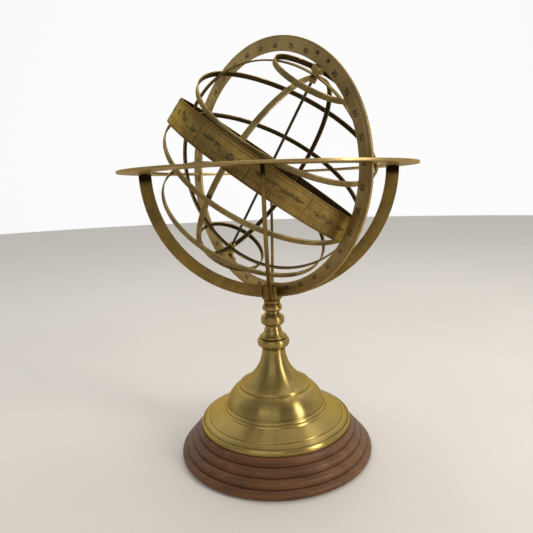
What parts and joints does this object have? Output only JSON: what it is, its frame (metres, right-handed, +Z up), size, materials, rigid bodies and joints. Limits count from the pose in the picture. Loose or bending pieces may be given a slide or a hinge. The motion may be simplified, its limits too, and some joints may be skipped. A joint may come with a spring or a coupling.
{
  "type": "armillary sphere",
  "caption": "Desktop armillary sphere: a tilting meridian ring and a spinning cage of hoops in a four-armed cradle, on a turned column, bell foot and stepped wooden plinth.",
  "frame": {"origin": "on the column's axis where the felt pad meets the table", "axes": "+Z up the column; the cradle's arms lie along X and Y; the raised pole leans towards +X and -Y"},
  "size_m": [0.316, 0.316, 0.4543],
  "materials": {
    "ring_brass": "antique brass, satin, engraved",
    "hoop_brass": "antique brass strip, satin",
    "cradle_brass": "dark antique brass, satin",
    "column_brass": "spun satin brass, lacquered",
    "steel": "dark plated",
    "wood": "stained and waxed",
    "felt": "wool felt"
  },
  "bodies": {
    "stand": {"felt_pad": "felt", "wood_plinth": "wood", "bell_foot": "column_brass", "collar": "column_brass", "baluster": "column_brass", "upper_bead": "column_brass", "hub": "cradle_brass", "tie_rod": "steel", "tie_washer": "steel", "tie_nut": "steel", "arm_right": "cradle_brass", "arm_back": "cradle_brass", "arm_left": "cradle_brass", "arm_front": "cradle_brass", "horizon_ring": "ring_brass"},
    "meridian": {"meridian_ring": "ring_brass", "pivot_block_north": "cradle_brass", "pivot_block_south": "cradle_brass", "rivet_north_1": "cradle_brass", "rivet_north_2": "cradle_brass", "rivet_south_1": "cradle_brass", "rivet_south_2": "cradle_brass"},
    "sphere": {"colure_solstitial": "hoop_brass", "colure_equinoctial": "hoop_brass", "equator": "hoop_brass", "tropic_north": "hoop_brass", "tropic_south": "hoop_brass", "polar_circle_north": "hoop_brass", "polar_circle_south": "hoop_brass", "zodiac_band": "ring_brass", "polar_axis": "steel", "pole_nut_north": "cradle_brass", "pole_nut_south": "cradle_brass", "pole_washer_north": "cradle_brass", "pole_washer_south": "cradle_brass"}
  },
  "joints": [
    {"name": "meridian_tilt", "type": "hinge", "parent": "stand", "child": "meridian", "pos_m": [0, 0, 0.3182], "axis": [-0.7071, -0.7071, 0], "range_deg": [-42, 28]},
    {"name": "sphere_spin", "type": "hinge", "parent": "meridian", "child": "sphere", "pos_m": [0, 0, 0.3182], "axis": [0.4421, -0.4421, 0.7804], "continuous": true}
  ]
}
